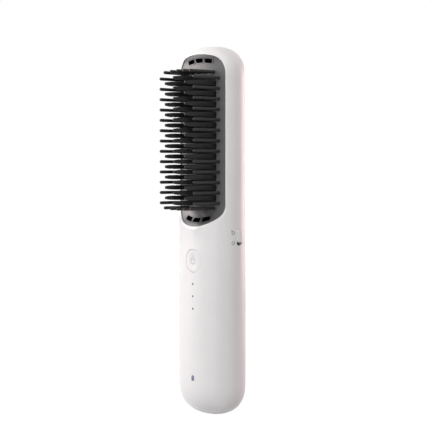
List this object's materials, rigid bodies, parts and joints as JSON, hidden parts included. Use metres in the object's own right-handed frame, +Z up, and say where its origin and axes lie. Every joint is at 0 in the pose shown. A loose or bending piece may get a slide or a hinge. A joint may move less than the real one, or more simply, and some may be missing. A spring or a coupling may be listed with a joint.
{
  "type": "cordless hair straightening brush",
  "caption": "Upright oval hair straightening brush with a heated toothed comb in its front, a round power button, indicator lights, a side lock slider and a charging port in its end.",
  "frame": {"origin": "centre of the charging port's mouth in the bottom end, on the handle's long axis", "axes": "+Z up the handle's length, -Y out of the comb, +X towards the lock slider"},
  "size_m": [0.0464, 0.045, 0.215],
  "materials": {
    "housing_white": "satin",
    "button_white": "satin",
    "plate_grey": "satin",
    "comb_black": "ceramic coated",
    "guard_black": "semi-gloss",
    "frame_dark": "moulded",
    "carrier_grey": "moulded",
    "heater_ceramic": "fired",
    "steel": "plated",
    "mica": "matt sheet",
    "board_green": "solder mask",
    "part_black": "moulded",
    "cell_wrap": "shrink wrap",
    "light_clear": "frosted",
    "mark_slate": "frosted",
    "foam": "foam"
  },
  "bodies": {
    "housing": {"front_shell": "housing_white", "rear_shell": "housing_white", "comb_plate": "plate_grey", "heating_comb": "comb_black", "guard_teeth_left": "guard_black", "guard_teeth_right": "guard_black", "guard_teeth_top": "guard_black", "guard_teeth_bottom": "guard_black", "vent_screen_top": "part_black", "vent_screen_bottom": "part_black", "head_frame": "frame_dark", "heater_plate": "heater_ceramic", "heater_clamp": "steel", "heat_shield": "mica", "thermal_fuse": "steel", "temperature_sensor": "part_black", "comb_screws": "steel", "plate_screws": "steel", "frame_screws": "steel", "power_switch": "steel", "light_guide": "light_clear", "indicator_lights": "part_black", "battery_mark": "mark_slate", "main_board": "board_green", "board_screws": "steel", "battery_cell_left": "cell_wrap", "battery_cell_right": "cell_wrap", "cell_link_top": "steel", "cell_link_bottom": "steel", "battery_holder": "frame_dark", "battery_pad": "foam", "ear_screws": "steel", "charge_port": "steel", "port_tongue": "part_black", "charge_board": "board_green", "lock_switch": "steel", "lock_board": "board_green"},
    "power_button": {"power_button": "button_white", "switch_plunger": "part_black"},
    "lock_slider": {"lock_knob": "button_white", "lock_carrier": "carrier_grey", "switch_lever": "part_black"}
  },
  "joints": [
    {"name": "power_button_press", "type": "slide", "parent": "housing", "child": "power_button", "axis": [0, 1, 0], "range_m": [0, 0.0004], "stiffness_N_per_m": 1500, "springref_m": -0.0006},
    {"name": "lock_slide", "type": "slide", "parent": "housing", "child": "lock_slider", "axis": [0, 0, 1], "range_m": [-0.0017, 0]}
  ]
}
